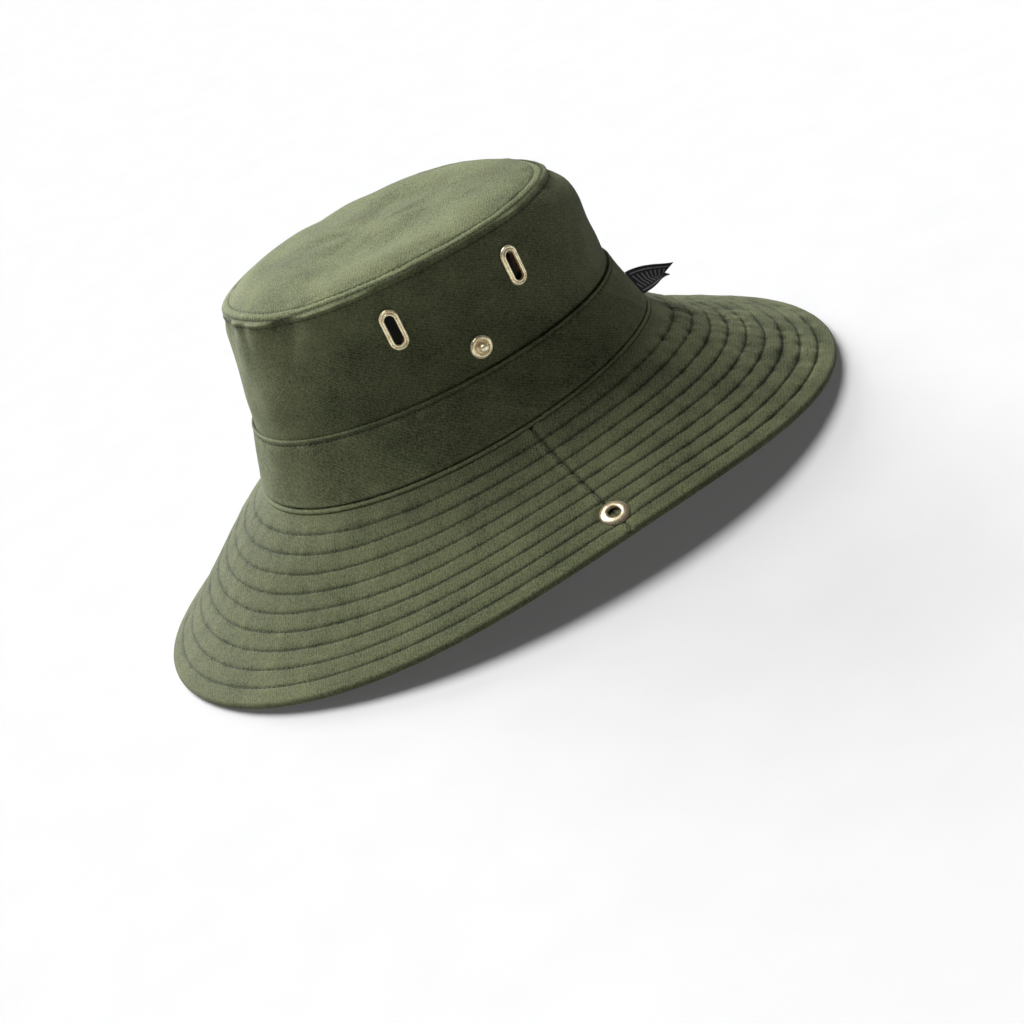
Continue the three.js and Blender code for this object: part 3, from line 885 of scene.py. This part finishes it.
def tip_points(theta, share):
    """The tip's upper face: domed, soft, with a flat seam edge and a stitched row."""
    seam_y, slope = CROWN_LEVELS[-1][3:5]
    edge = crown_point(theta, SEAM_Z, 0.0, 0.0)
    centre = np.array([0.0, seam_y, SEAM_Z + slope * seam_y])
    edge = edge + unit(edge - centre) * edge_bulge(theta)[..., None]
    points = centre + (edge - centre) * share[..., None]
    inboard = np.linalg.norm(edge - points, axis=-1)
    dome = TIP_DOME * (1 - share**2) + 1.8 * (1 - np.exp(-((inboard / 9.0) ** 2)))
    soft = noise(theta, share, 7, 3, 31) * 1.2 + noise(theta, share, 19, 6, 32) * 0.7
    soft *= smoothstep(0.0, 0.35, share) * smoothstep(0, 9, inboard)
    soft += 2.4 * turn_bell(theta, 226, 60) * bell(inboard, 14, 22)
    soft -= 1.0 * turn_bell(theta, 186, 7) * bell(inboard, 9, 13)
    soft -= 0.4 * turn_bell(theta, 163, 6) * bell(inboard, 9, 13)
    pucker = noise(theta, share, 110, 26, 33) * 0.3 * np.exp(-(((inboard - 5) / 5.0) ** 2))
    ridge = 0.3 * bell(inboard, 2.1, 1.6) - 0.3 * bell(inboard, 4.3, 0.5)
    ridge += -0.8 * bell(inboard, 0.0, 0.7)
    points[..., 2] += dome + soft + pucker * smoothstep(0.5, 2, inboard) + ridge
    points[..., 2] -= edge_dip(theta) * np.exp(-((inboard / 13.0) ** 2))
    # The second value paints shade into the seam's groove and pucker hollows, and light onto the ridge.
    return points, ridge + 0.4 * pucker


def make_tip():
    """The tip's cloth, and its row of stitches."""
    inner = np.linspace(0.002, 0.86, 84)[:-1]
    share = np.concatenate([inner, np.linspace(0.86, 1.0, 40)])[::-1][:, None]
    theta, share = np.broadcast_arrays(ring_angles(900)[None, :], share)
    points, relief_shading = tip_points(theta, share)
    piece = grid_piece("tip_cloth", points, LIT_TIP_LOOK, plan_uv(points), True, relief_shading)
    placed(piece, "hat", "cloth", "crown_tip")
    normals = grid_normals(points, True)
    inboard = np.linalg.norm(points[..., :2] - points[:1, :, :2], axis=-1)
    line, up = [], []
    for j in range(points.shape[1]):
        line.append([np.interp(SEAM_STITCH_IN, inboard[:, j], points[:, j, k]) for k in range(3)])
        up.append(normals[int(np.abs(inboard[:, j] - SEAM_STITCH_IN).argmin()), j])
    return [stitches(np.array(line), np.array(up), True, 0.05)]


# The band's section: height up the crown, and how far in from its face.
BAND_SECTION = [
    (28.6, 1.25), (29.5, 1.2), (29.95, 0.85), (30.05, 0.3), (29.85, -0.08), (29.3, -0.2),
    (28.6, -0.02), (27.9, 0.28), (27.3, 0.05), (26.0, -0.05), (22.0, 0.0), (12.0, 0.0),
    (6.0, 0.0), (3.6, -0.12), (2.8, 0.05), (2.4, 0.8), (2.15, 0.75), (1.95, 0.0), (1.55, -0.4),
    (0.95, -0.5), (0.4, -0.3), (0.1, 0.3), (0.0, 1.4),
]


# Slanting creases pressed into the band: depth, degrees round and half width.
BAND_CREASES = [
    (0.9, 353.0, 1.7), (-0.8, 357.5, 1.3), (1.1, 1.5, 1.6), (-0.9, 6.0, 1.4), (1.2, 11.0, 1.8),
    (-0.9, 16.0, 1.4), (1.0, 21.0, 2.0), (-0.6, 28.0, 1.6), (0.8, 52.0, 2.2), (0.8, 305.0, 2.4),
    (-0.6, 311.0, 1.6),
]


def make_band():
    """The band's cloth, and its two rows of stitches."""
    theta = ring_angles(1080)[None, :]
    section = curve(BAND_SECTION, 110)[::-1]
    z, inset = section[:, :1], section[:, 1:]
    plain = crown_point(theta, z, inset)
    normals = grid_normals(crown_point(theta, np.linspace(0, 30, 110)[:, None]), True)
    up = z / BAND_TOP
    body = smoothstep(0.06, 0.3, up) * smoothstep(1.0, 0.8, up)
    slant = theta + (up - 0.5) * 0.22
    folds = noise(slant, up, 26, 2, 41) * 0.55 + noise(slant, up, 60, 3, 42) * 0.25
    creases = bells(slant + (up - 0.5) * 0.12, BAND_CREASES)
    pinch = noise(theta, up, 150, 4, 43) * 0.22 * (bell(z, 26.5, 2.5) + bell(z, 5.0, 2.5))
    height = (folds + creases) * body + pinch
    points = plain + normals * height[..., None]
    # Painted light on the band's proud folded edges and painted shade where they turn in, with the
    # pinches.
    relief_shading = 0.8 * (-inset + 0 * theta) * (np.abs(z - 15) > 10) + pinch
    piece = grid_piece("band_cloth", points, CLOTH_LOOK, round_uv(points, z[:, 0]), True, relief_shading)
    placed(piece, "hat", "cloth", "hat_band")
    face = grid_normals(points, True)
    rows = []
    for height_at, proud in BAND_STITCHES.items():
        outer = np.abs(z[:, 0] - height_at) + 9.0 * (inset[:, 0] > 1.0)
        row = int(outer.argmin())
        rows.append(stitches(points[row], face[row], True, proud))
    return rows


# ---- brim ----

RIM_RADIUS = BRIM_DEPTH / 2
RIM_TURN = 4.5
EDGE_TUCK = 0.7
TOP_SEED = 51
UNDER_SEED = 61


def brim_angles():
    """Angles round the brim, closer together at the two side seams."""
    coarse = np.arange(-90, 270, 0.3)
    fine = np.concatenate([np.arange(-2.4, 2.41, 0.08), np.arange(177.6, 182.41, 0.08)])
    return np.radians(np.unique(np.round(np.concatenate([coarse, fine]), 3)))


def brim_cloth(theta, step, under):
    """Quilted points of one of the brim's cloths, with outward, upward and the quilt's height."""
    plain, outward, normal = brim_frame(theta, step)
    quilt = brim_quilt(theta, step, UNDER_SEED if under else TOP_SEED)
    free = calm(plain, SOCKETS.values(), SOCKET_CALM)
    facing, depth = (-1, BRIM_DEPTH) if under else (1, 0.0)
    lift = brim_wave(theta, step) * free + facing * quilt * (0.25 + 0.75 * free) - depth
    return plain + normal * lift[..., None], outward, normal, quilt


def brim_top_grid(theta):
    """The top cloth: from under the band, out over the rim and a little way back beneath."""
    width = brim_width(theta)
    last = 1 - RIM_RADIUS / width
    # The quilt's height doubles as painted light and shade: paler pillows, darker stitched grooves.
    top, _, _, relief_shading = brim_cloth(theta[None, :], np.linspace(0, 1, 190)[:, None] * last, False)
    edge, outward, normal, quilt = brim_cloth(theta, last, False)
    level = np.ones((1, len(theta)))
    rows, values = [crown_point(theta, 0.0, BRIM_TUCK)[None], top], [0 * level, relief_shading]
    for phi in np.radians(np.arange(12, 181, 12)):
        drop = RIM_RADIUS * (1 - math.cos(phi)) + quilt * smoothstep(0, np.pi, phi)
        rows.append((edge + outward * RIM_RADIUS * math.sin(phi) - normal * drop[:, None])[None])
        # The rolled rim is painted a little paler, as painted light.
        values.append(0.15 * level)
    for inward in np.linspace(0.4, RIM_TURN, 8):
        step = last - inward / width
        plain, _, up = brim_frame(theta, step)
        free = calm(plain, SOCKETS.values(), SOCKET_CALM)
        tuck = EDGE_TUCK * smoothstep(RIM_TURN - 1.0, RIM_TURN, inward)
        rows.append((plain + up * (brim_wave(theta, step) * free - BRIM_DEPTH + tuck)[:, None])[None])
        # The turned-under edge is painted a little pale, and darker where it tucks in, as painted shade.
        values.append((0.1 - tuck) * level)
    return np.vstack(rows)[::-1], np.vstack(values)[::-1]


def brim_under_grid(theta):
    """The under cloth, from under the band to its edge beneath the turned-in top cloth."""
    last = 1 - (RIM_RADIUS + RIM_TURN) / brim_width(theta)
    steps = np.linspace(0, 1, 130)[:, None] * last
    under, _, normal, quilt = brim_cloth(theta[None, :], steps, True)
    under = under + normal * (EDGE_TUCK * bell(steps, last, 0.006))[..., None]
    ring = crown_point(theta, 0.0, BRIM_TUCK) - np.array([0, 0, BRIM_DEPTH])
    # The quilt's height is also handed back as painted light and shade for the colour.
    return np.concatenate([ring[None], under]), np.vstack([np.zeros((1, len(theta))), quilt])


def clear_of_socket(row, side):
    """Leaves out the stitches that a snap socket's flange would cover."""
    centre, ahead, up = row
    keep = np.linalg.norm(centre - SOCKETS[side][0], axis=1) > SOCKET_HIDES
    return centre[keep], ahead[keep], up[keep]


def bend_over_fold(piece):
    """Bakes the piece's placing into its mesh."""
    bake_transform(piece)


def make_brim():
    theta = brim_angles()
    half = int(np.abs(theta - np.pi / 2).argmin())
    parts = {"left": np.arange(half + 1), "right": np.append(np.arange(half, len(theta)), 0)}
    cloths = [
        ("top", brim_top_grid(theta), ("top_front", "top_back")),
        ("under", brim_under_grid(theta), ("under", "stiffener")),
    ]
    for side, columns in parts.items():
        for name, (points, relief_shading), nodes in cloths:
            normals = grid_normals(points, True)[:, columns]
            grid, uv = points[:, columns], plan_uv(points[:, columns], False)
            name = f"{side}_brim_{name}_cloth"
            piece = grid_piece(name, grid, SHADED_BRIM_LOOK, uv, False, relief_shading[:, columns], None, normals)
            stood_for = [f"{part}_{node}" for part in ("brim", f"{side}_flap") for node in nodes]
            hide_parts(*stood_for)
            bend_over_fold(piece)
        make_brim_stitches(side, theta[columns])


def make_brim_stitches(side, theta):
    theta = np.unwrap(theta)
    rows = []
    for row in range(1, ROW_COUNT + 1):
        step = row_steps(theta, row)
        for under in (False, True):
            line, _, normal, _ = brim_cloth(theta, step, under)
            made = stitches(line, -normal if under else normal, False, 0.16, 0.1 * (row % 3))
            rows.append(clear_of_socket(made, side))
    seam_at = 0.0 if side == "left" else np.pi
    step = np.linspace(0.04, 0.985, 200)
    angle = seam_at - 1.5 / (BRIM_FOOT_RADIUS + BRIM_RADIUS_GAIN * step)
    line, _, normal, _ = brim_cloth(angle, step, False)
    rows.append(clear_of_socket(stitches(line, normal, False, 0.0), side))
    piece = stitch_piece(f"{side}_brim_stitches", rows)
    bend_over_fold(piece)


# ---- inside ----


def make_lining():
    theta = ring_angles(480)[None, :]
    z = np.linspace(0.4, SEAM_Z - CLOTH - LINING - 3 * GAP, 90)[:, None]
    plain = crown_point(theta, z, wall_inset(z) + CLOTH + GAP)
    normals = grid_normals(plain, True)
    up = z / SEAM_Z
    soft = noise(theta, up, 16, 4, 71) * 0.5 * smoothstep(0.35, 0.6, up)
    clear = 0.25 + 1.2 * smoothstep(30, 44, z) + 3.0 * smoothstep(60, 82, z) * (edge_dip(theta) > 2)
    points = (plain - normals * (clear + soft**2)[..., None])[::-1]
    uv, keep = round_uv(points, z[::-1, 0]), clear_of_slots(points, 0.4)
    wall = grid_piece("lining_wall_cloth", points, LINING_LOOK, uv, True, None, keep)
    placed(wall, "hat", "lining", "lining_wall")
    share = np.linspace(0.003, 0.958, 50)[:, None]
    points, _ = tip_points(*np.broadcast_arrays(ring_angles(360)[None, :], share))
    points[..., 2] -= CLOTH + GAP + LINING + 0.4
    tip = grid_piece("lining_tip_cloth", points, LINING_LOOK, plan_uv(points))
    placed(tip, "hat", "lining", "lining_tip")


# The sweatband's section: height up the crown, and how far in from the lining's face.
SWEATBAND_SECTION = [
    (29.4, 0.1), (29.7, 0.7), (29.3, 1.4), (27.6, 1.2), (26.8, 1.45), (15.0, 1.5), (3.0, 1.45),
    (-1.5, 1.3), (-2.7, 1.1), (-3.0, 0.5), (-2.6, 0.0), (0.0, -0.2),
]
SWEATBAND_STITCH_Z = 27.4


def make_sweatband():
    theta = ring_angles(720)[None, :]
    line = curve(SWEATBAND_SECTION, 70)
    z, inset = line[:, :1], line[:, 1:] + 2 * CLOTH + LINING + 3 * GAP
    plain = crown_point(theta, z, inset)
    normals = grid_normals(crown_point(theta, np.linspace(0, 30, 70)[:, None]), True)
    up = np.clip(z / BAND_TOP, 0, 1)
    soft = noise(theta, up, 22, 3, 72) * 0.35 + noise(theta, up, 90, 3, 73) * 0.12
    points = plain - normals * (soft * smoothstep(0.0, 0.4, up))[..., None]
    strip = grid_piece("sweatband_strip", points, SWEAT_LOOK, round_uv(points, z[:, 0]))
    placed(strip, "hat", "sweatband", "sweatband")
    row = int(np.abs(z[:, 0] - SWEATBAND_STITCH_Z).argmin())
    made = stitches(points[row], grid_normals(points, True)[row], True, 0.05)
    placed(stitch_piece("sweatband_stitches", [made]), "hat", "sweatband")


# ---- metal fittings ----


def stadium(length, width, count):
    """A slot's outline, evenly divided."""
    radius = width / 2
    arc = np.linspace(0, np.pi, 33)
    top = np.stack([radius * np.cos(arc), max(length / 2 - radius, 0.0) + radius * np.sin(arc)], 1)
    return even(np.vstack([top, -top, top[:1]]), count + 1)[:-1]


def stadium_rings(section, count=120):
    """Rings from a section of (distance out from the slot's edge, height)."""
    rings = []
    ends = (EYELET_LENGTH - SLOT_LENGTH) / (EYELET_WIDTH - SLOT_WIDTH)
    for out, height in section:
        ring = stadium(SLOT_LENGTH + 2 * out * ends, SLOT_WIDTH + 2 * out, count)
        rings.append(np.column_stack([ring, np.full(count, height)]))
    return np.array(rings)


def turned_rings(section, count=72):
    angle = ring_angles(count)
    radius, height = section[:, :1], section[:, 1:] + 0 * angle
    return np.stack([radius * np.cos(angle), radius * np.sin(angle), height], -1)


THROUGH = CLOTH + GAP + LINING

# Metal sections: distance out from the slot or the middle, and height.
EYELET_RING = [
    (0.0, -THROUGH - 1.0), (0.0, 0.6), (0.1, 1.35), (0.4, 1.8), (0.75, 1.68), (0.98, 1.3),
    (1.2, 1.3), (1.55, 1.5), (1.95, 1.2), (2.2, 0.6), (2.12, 0.1), (1.7, -0.15),
]
EYELET_BACK = [
    (0.35, -THROUGH - 0.2), (0.8, -THROUGH - 0.35), (1.6, -THROUGH - 0.35),
    (1.9, -THROUGH - 0.7), (1.5, -THROUGH - 1.1), (0.9, -THROUGH - 1.25), (0.4, -THROUGH - 1.2),
    (0.05, -THROUGH - 1.0),
]


def make_eyelets():
    ring, back = curve(EYELET_RING, 46), curve(EYELET_BACK, 24)
    # Darker brown in the ring's groove and at its foot against the cloth: partly grime and partly painted
    # shade.
    grime_and_shade = 0.85 * bell(ring[:, 0], 1.08, 0.13) * (ring[:, 1] > 1.0)
    grime_and_shade = np.maximum(grime_and_shade, smoothstep(0.75, 0.25, ring[:, 1]))
    for (side, end), place in EYELETS.items():
        name = f"{side}_{end}_eyelet"
        rings = in_frame(place, stadium_rings(ring))[::-1]
        placed(swept(f"{name}_ring", rings, LIT_BRASS_LOOK, grime_and_shade[::-1]), "hat", "brass", name)
        rings = in_frame(place, stadium_rings(back))
        piece = swept(f"{name}_back", rings, LIT_BRASS_LOOK, np.full(len(back), 0.15))
        placed(piece, "hat", "brass", f"{name}_washer")


STUD_SECTION = [
    (0.02, 5.55), (0.9, 5.4), (1.6, 4.95), (2.0, 4.2), (1.9, 3.4), (1.45, 2.75), (1.4, 2.0),
    (1.75, 1.25), (2.6, 0.95), (3.1, 1.15), (3.5, 1.75), (4.1, 2.0), (4.7, 1.85), (5.2, 1.35),
    (5.4, 0.75), (5.3, 0.2), (4.9, -0.1),
]
SOCKET_SECTION = [
    (2.7, -4.2), (2.7, 0.5), (2.75, 1.2), (3.1, 1.65), (3.7, 1.85), (4.6, 1.85), (5.6, 1.65),
    (6.4, 1.25), (6.85, 0.75), (6.85, 0.25), (6.4, -0.1),
]
STUD_BACK = [
    (0.02, -THROUGH - 1.75), (2.5, -THROUGH - 1.7), (4.2, -THROUGH - 1.4),
    (5.0, -THROUGH - 0.9), (4.9, -THROUGH - 0.4),
]
SOCKET_BACK = [
    (0.02, -BRIM_DEPTH - 1.75), (2.6, -BRIM_DEPTH - 1.75), (4.4, -BRIM_DEPTH - 1.6),
    (5.6, -BRIM_DEPTH - 1.1), (5.7, -BRIM_DEPTH - 0.5), (5.2, -BRIM_DEPTH - 0.2),
]


def turned_piece(name, place, section, look, grime_and_shade_at=None):
    """A turned fitting. The last argument gives each radius and height its darkening, partly grime and
    partly painted shade, and a back has little.
    """
    line = curve(section, 56)
    rings = in_frame(place, turned_rings(line))
    if grime_and_shade_at:
        return swept(name, rings, look, grime_and_shade_at(line[:, 0], line[:, 1]))
    return swept(name, rings[::-1], look, np.full(len(line), 0.1))


def stud_grime_and_shade(radius, height):
    # Darker at the foot against the cloth and in the recess round the ball: partly grime and partly
    # painted shade.
    foot = smoothstep(0.7, 0.2, height) * (radius > 4.0)
    return np.maximum(foot, 0.5 * bell(radius, 2.3, 0.75) * (height < 1.8))


def socket_grime_and_shade(radius, height):
    # Darker at the foot against the cloth and down the hole: partly grime and partly painted shade.
    foot = 0.8 * smoothstep(0.8, 0.2, height) * (radius > 5.0)
    return np.maximum(foot, smoothstep(1.4, 0.4, height) * (radius < 3.2))


def make_snaps():
    kinds = [
        ("stud", STUDS, LIT_BRASS_LOOK, stud_grime_and_shade, STUD_SECTION, STUD_BACK),
        ("socket", SOCKETS, SHADED_BRASS_LOOK, socket_grime_and_shade, SOCKET_SECTION, SOCKET_BACK),
    ]
    for side in SIDES:
        for kind, places, look, grime_and_shade_at, front, back in kinds:
            body = "hat" if kind == "stud" else f"{side}_flap"
            piece = turned_piece(f"{side}_{kind}_front", places[side], front, look, grime_and_shade_at)
            placed(piece, body, "brass", f"{side}_snap_{kind}")
            piece = turned_piece(f"{side}_{kind}_back", places[side], back, look)
            placed(piece, body, "brass", f"{side}_snap_{kind}_cap")


# ---- label ----


def band_edge(z):
    """y of the band's face beside the label, and the height there."""
    level = crown_level(np.array(z))
    across = (1 - (LABEL_X / level[0]) ** level[4]) ** (1 / level[4])
    y = level[2] + level[1] * across
    return y, z + level[3] * y - back_drop(LABEL_BEARING, z)


def make_label():
    """A doubled tape with a notched end, which curls, twists and droops from the band."""
    low_y, low_z = band_edge(LABEL_LOW)
    high_y, high_z = band_edge(LABEL_HIGH)
    across = np.linspace(0, 1, 41)[:, None]
    along = np.linspace(0, 1, 61)[None, :]
    tip = LABEL_LENGTH - LABEL_NOTCH * (1 - np.abs(2 * across - 1)) - 1.0 * across
    start = low_y + (high_y - low_y) * across
    y = start + along * ((low_y + high_y) / 2 + tip - start)
    rise = (high_z - low_z) * (across - 0.5) + 0 * along
    curl = 0.9 * np.sin(along * 5.2 + across * 1.1) * along
    twist = LABEL_TWIST * smoothstep(0.0, 1.0, along)
    x = LABEL_X + curl + rise * np.sin(twist)
    z = (low_z + high_z) / 2 + rise * np.cos(twist) - LABEL_DROOP * along**1.6
    middle = np.stack(np.broadcast_arrays(x, y, z), -1)
    edge = np.minimum(np.minimum(across, 1 - across) * 14, 1) * np.minimum((1 - along) * 22, 1)
    thick = grid_normals(middle, False) * (LABEL_THICK / 2 * np.sqrt(np.clip(edge, 0, 1)))[..., None]
    uv = np.stack(np.broadcast_arrays(along, across), -1)
    points = np.concatenate([middle + thick, (middle - thick)[::-1]])
    piece = grid_piece("label_tape", points, LABEL_LOOK, np.concatenate([uv, uv[::-1]]), False)
    placed(piece, "label", "label", "back_label")


# ---- stage ----


def make_backdrop():
    """A pale dome that only the camera sees, so that no view looks past the floor."""
    mesh = bpy.data.meshes.new("backdrop")
    form = bmesh.new()
    bmesh.ops.create_uvsphere(form, u_segments=48, v_segments=24, radius=14.0)
    form.to_mesh(mesh)
    form.free()
    mesh.materials.append(backdrop_material())
    dome = link_object("backdrop", mesh)
    dome.visible_shadow = False
    dome.visible_diffuse = False
    dome.visible_glossy = False
    dome.visible_transmission = False


def make_floor():
    mesh = bpy.data.meshes.new("floor")
    reach = 15.0
    corners = [(-reach, -reach, 0), (reach, -reach, 0), (reach, reach, 0), (-reach, reach, 0)]
    mesh.from_pydata(corners, [], [(0, 1, 2, 3)])
    mesh.materials.append(floor_material())
    floor = link_object("floor", mesh)
    floor.location.z = -0.0005


# Lamps: azimuth of the light's source from +X, elevation, spread (degrees), strength.
LAMPS = {
    "key": (-172, 17, 34, 4.9),
    "top": (-150, 65, 46, 6.6),
    "front": (-108, 14, 40, 0.35),
}
WORLD_STRENGTH = 0.03


def make_lights():
    for name, (azimuth, elevation, spread, strength) in LAMPS.items():
        light = bpy.data.lights.new(name, "SUN")
        light.energy = strength
        light.angle = math.radians(spread)
        lamp = link_object(name, light)
        turn, rise = math.radians(azimuth), math.radians(elevation)
        flat = math.cos(rise)
        back = np.array([math.cos(turn) * flat, math.sin(turn) * flat, math.sin(rise)])
        side = unit(np.cross([0, 0, 1], back))
        lamp.matrix_world = axes_matrix(side, np.cross(back, side), back, (0, 0, 2))
    world = bpy.data.worlds.new("studio")
    world.use_nodes = True
    ground = world.node_tree.nodes["Background"]
    ground.inputs["Color"].default_value = rgba(1.0, 1.0, 1.0)
    ground.inputs["Strength"].default_value = WORLD_STRENGTH
    bpy.context.scene.world = world
    bpy.context.scene.view_settings.view_transform = "Standard"


def axes_matrix(side, up, back, location):
    """A placing from its three directions and its origin."""
    return Matrix([*np.column_stack([side, up, back, location]).tolist(), [0, 0, 0, 1]])


def make_camera():
    azimuth, elevation, roll = (math.radians(a) for a in (VIEW_AZIMUTH, VIEW_ELEVATION, VIEW_ROLL))
    level = np.array([math.cos(azimuth), math.sin(azimuth), 0.0])
    flat = math.cos(elevation)
    back = np.array([math.sin(azimuth) * flat, -math.cos(azimuth) * flat, math.sin(elevation)])
    upright = np.cross(back, level)
    side = level * math.cos(roll) + upright * math.sin(roll)
    up = np.cross(back, side)
    data = bpy.data.cameras.new("camera")
    data.lens = VIEW_LENS
    data.sensor_width = 36.0
    data.clip_start = 0.05
    data.clip_end = 60.0
    camera = link_object("camera", data)
    place = seat(np.array(VIEW_TARGET) + back * VIEW_DISTANCE)
    camera.matrix_world = axes_matrix(tilt(side), tilt(up), tilt(back), place)
    bpy.context.scene.camera = camera


# ---- the whole hat ----

make_camera()
crown_rows = [*make_wall(), *make_tip(), *make_band()]
placed(stitch_piece("crown_stitches", crown_rows), "hat", "cloth")
make_brim()
make_lining()
make_sweatband()
make_eyelets()
make_snaps()
make_label()
make_floor()
make_backdrop()
make_lights()
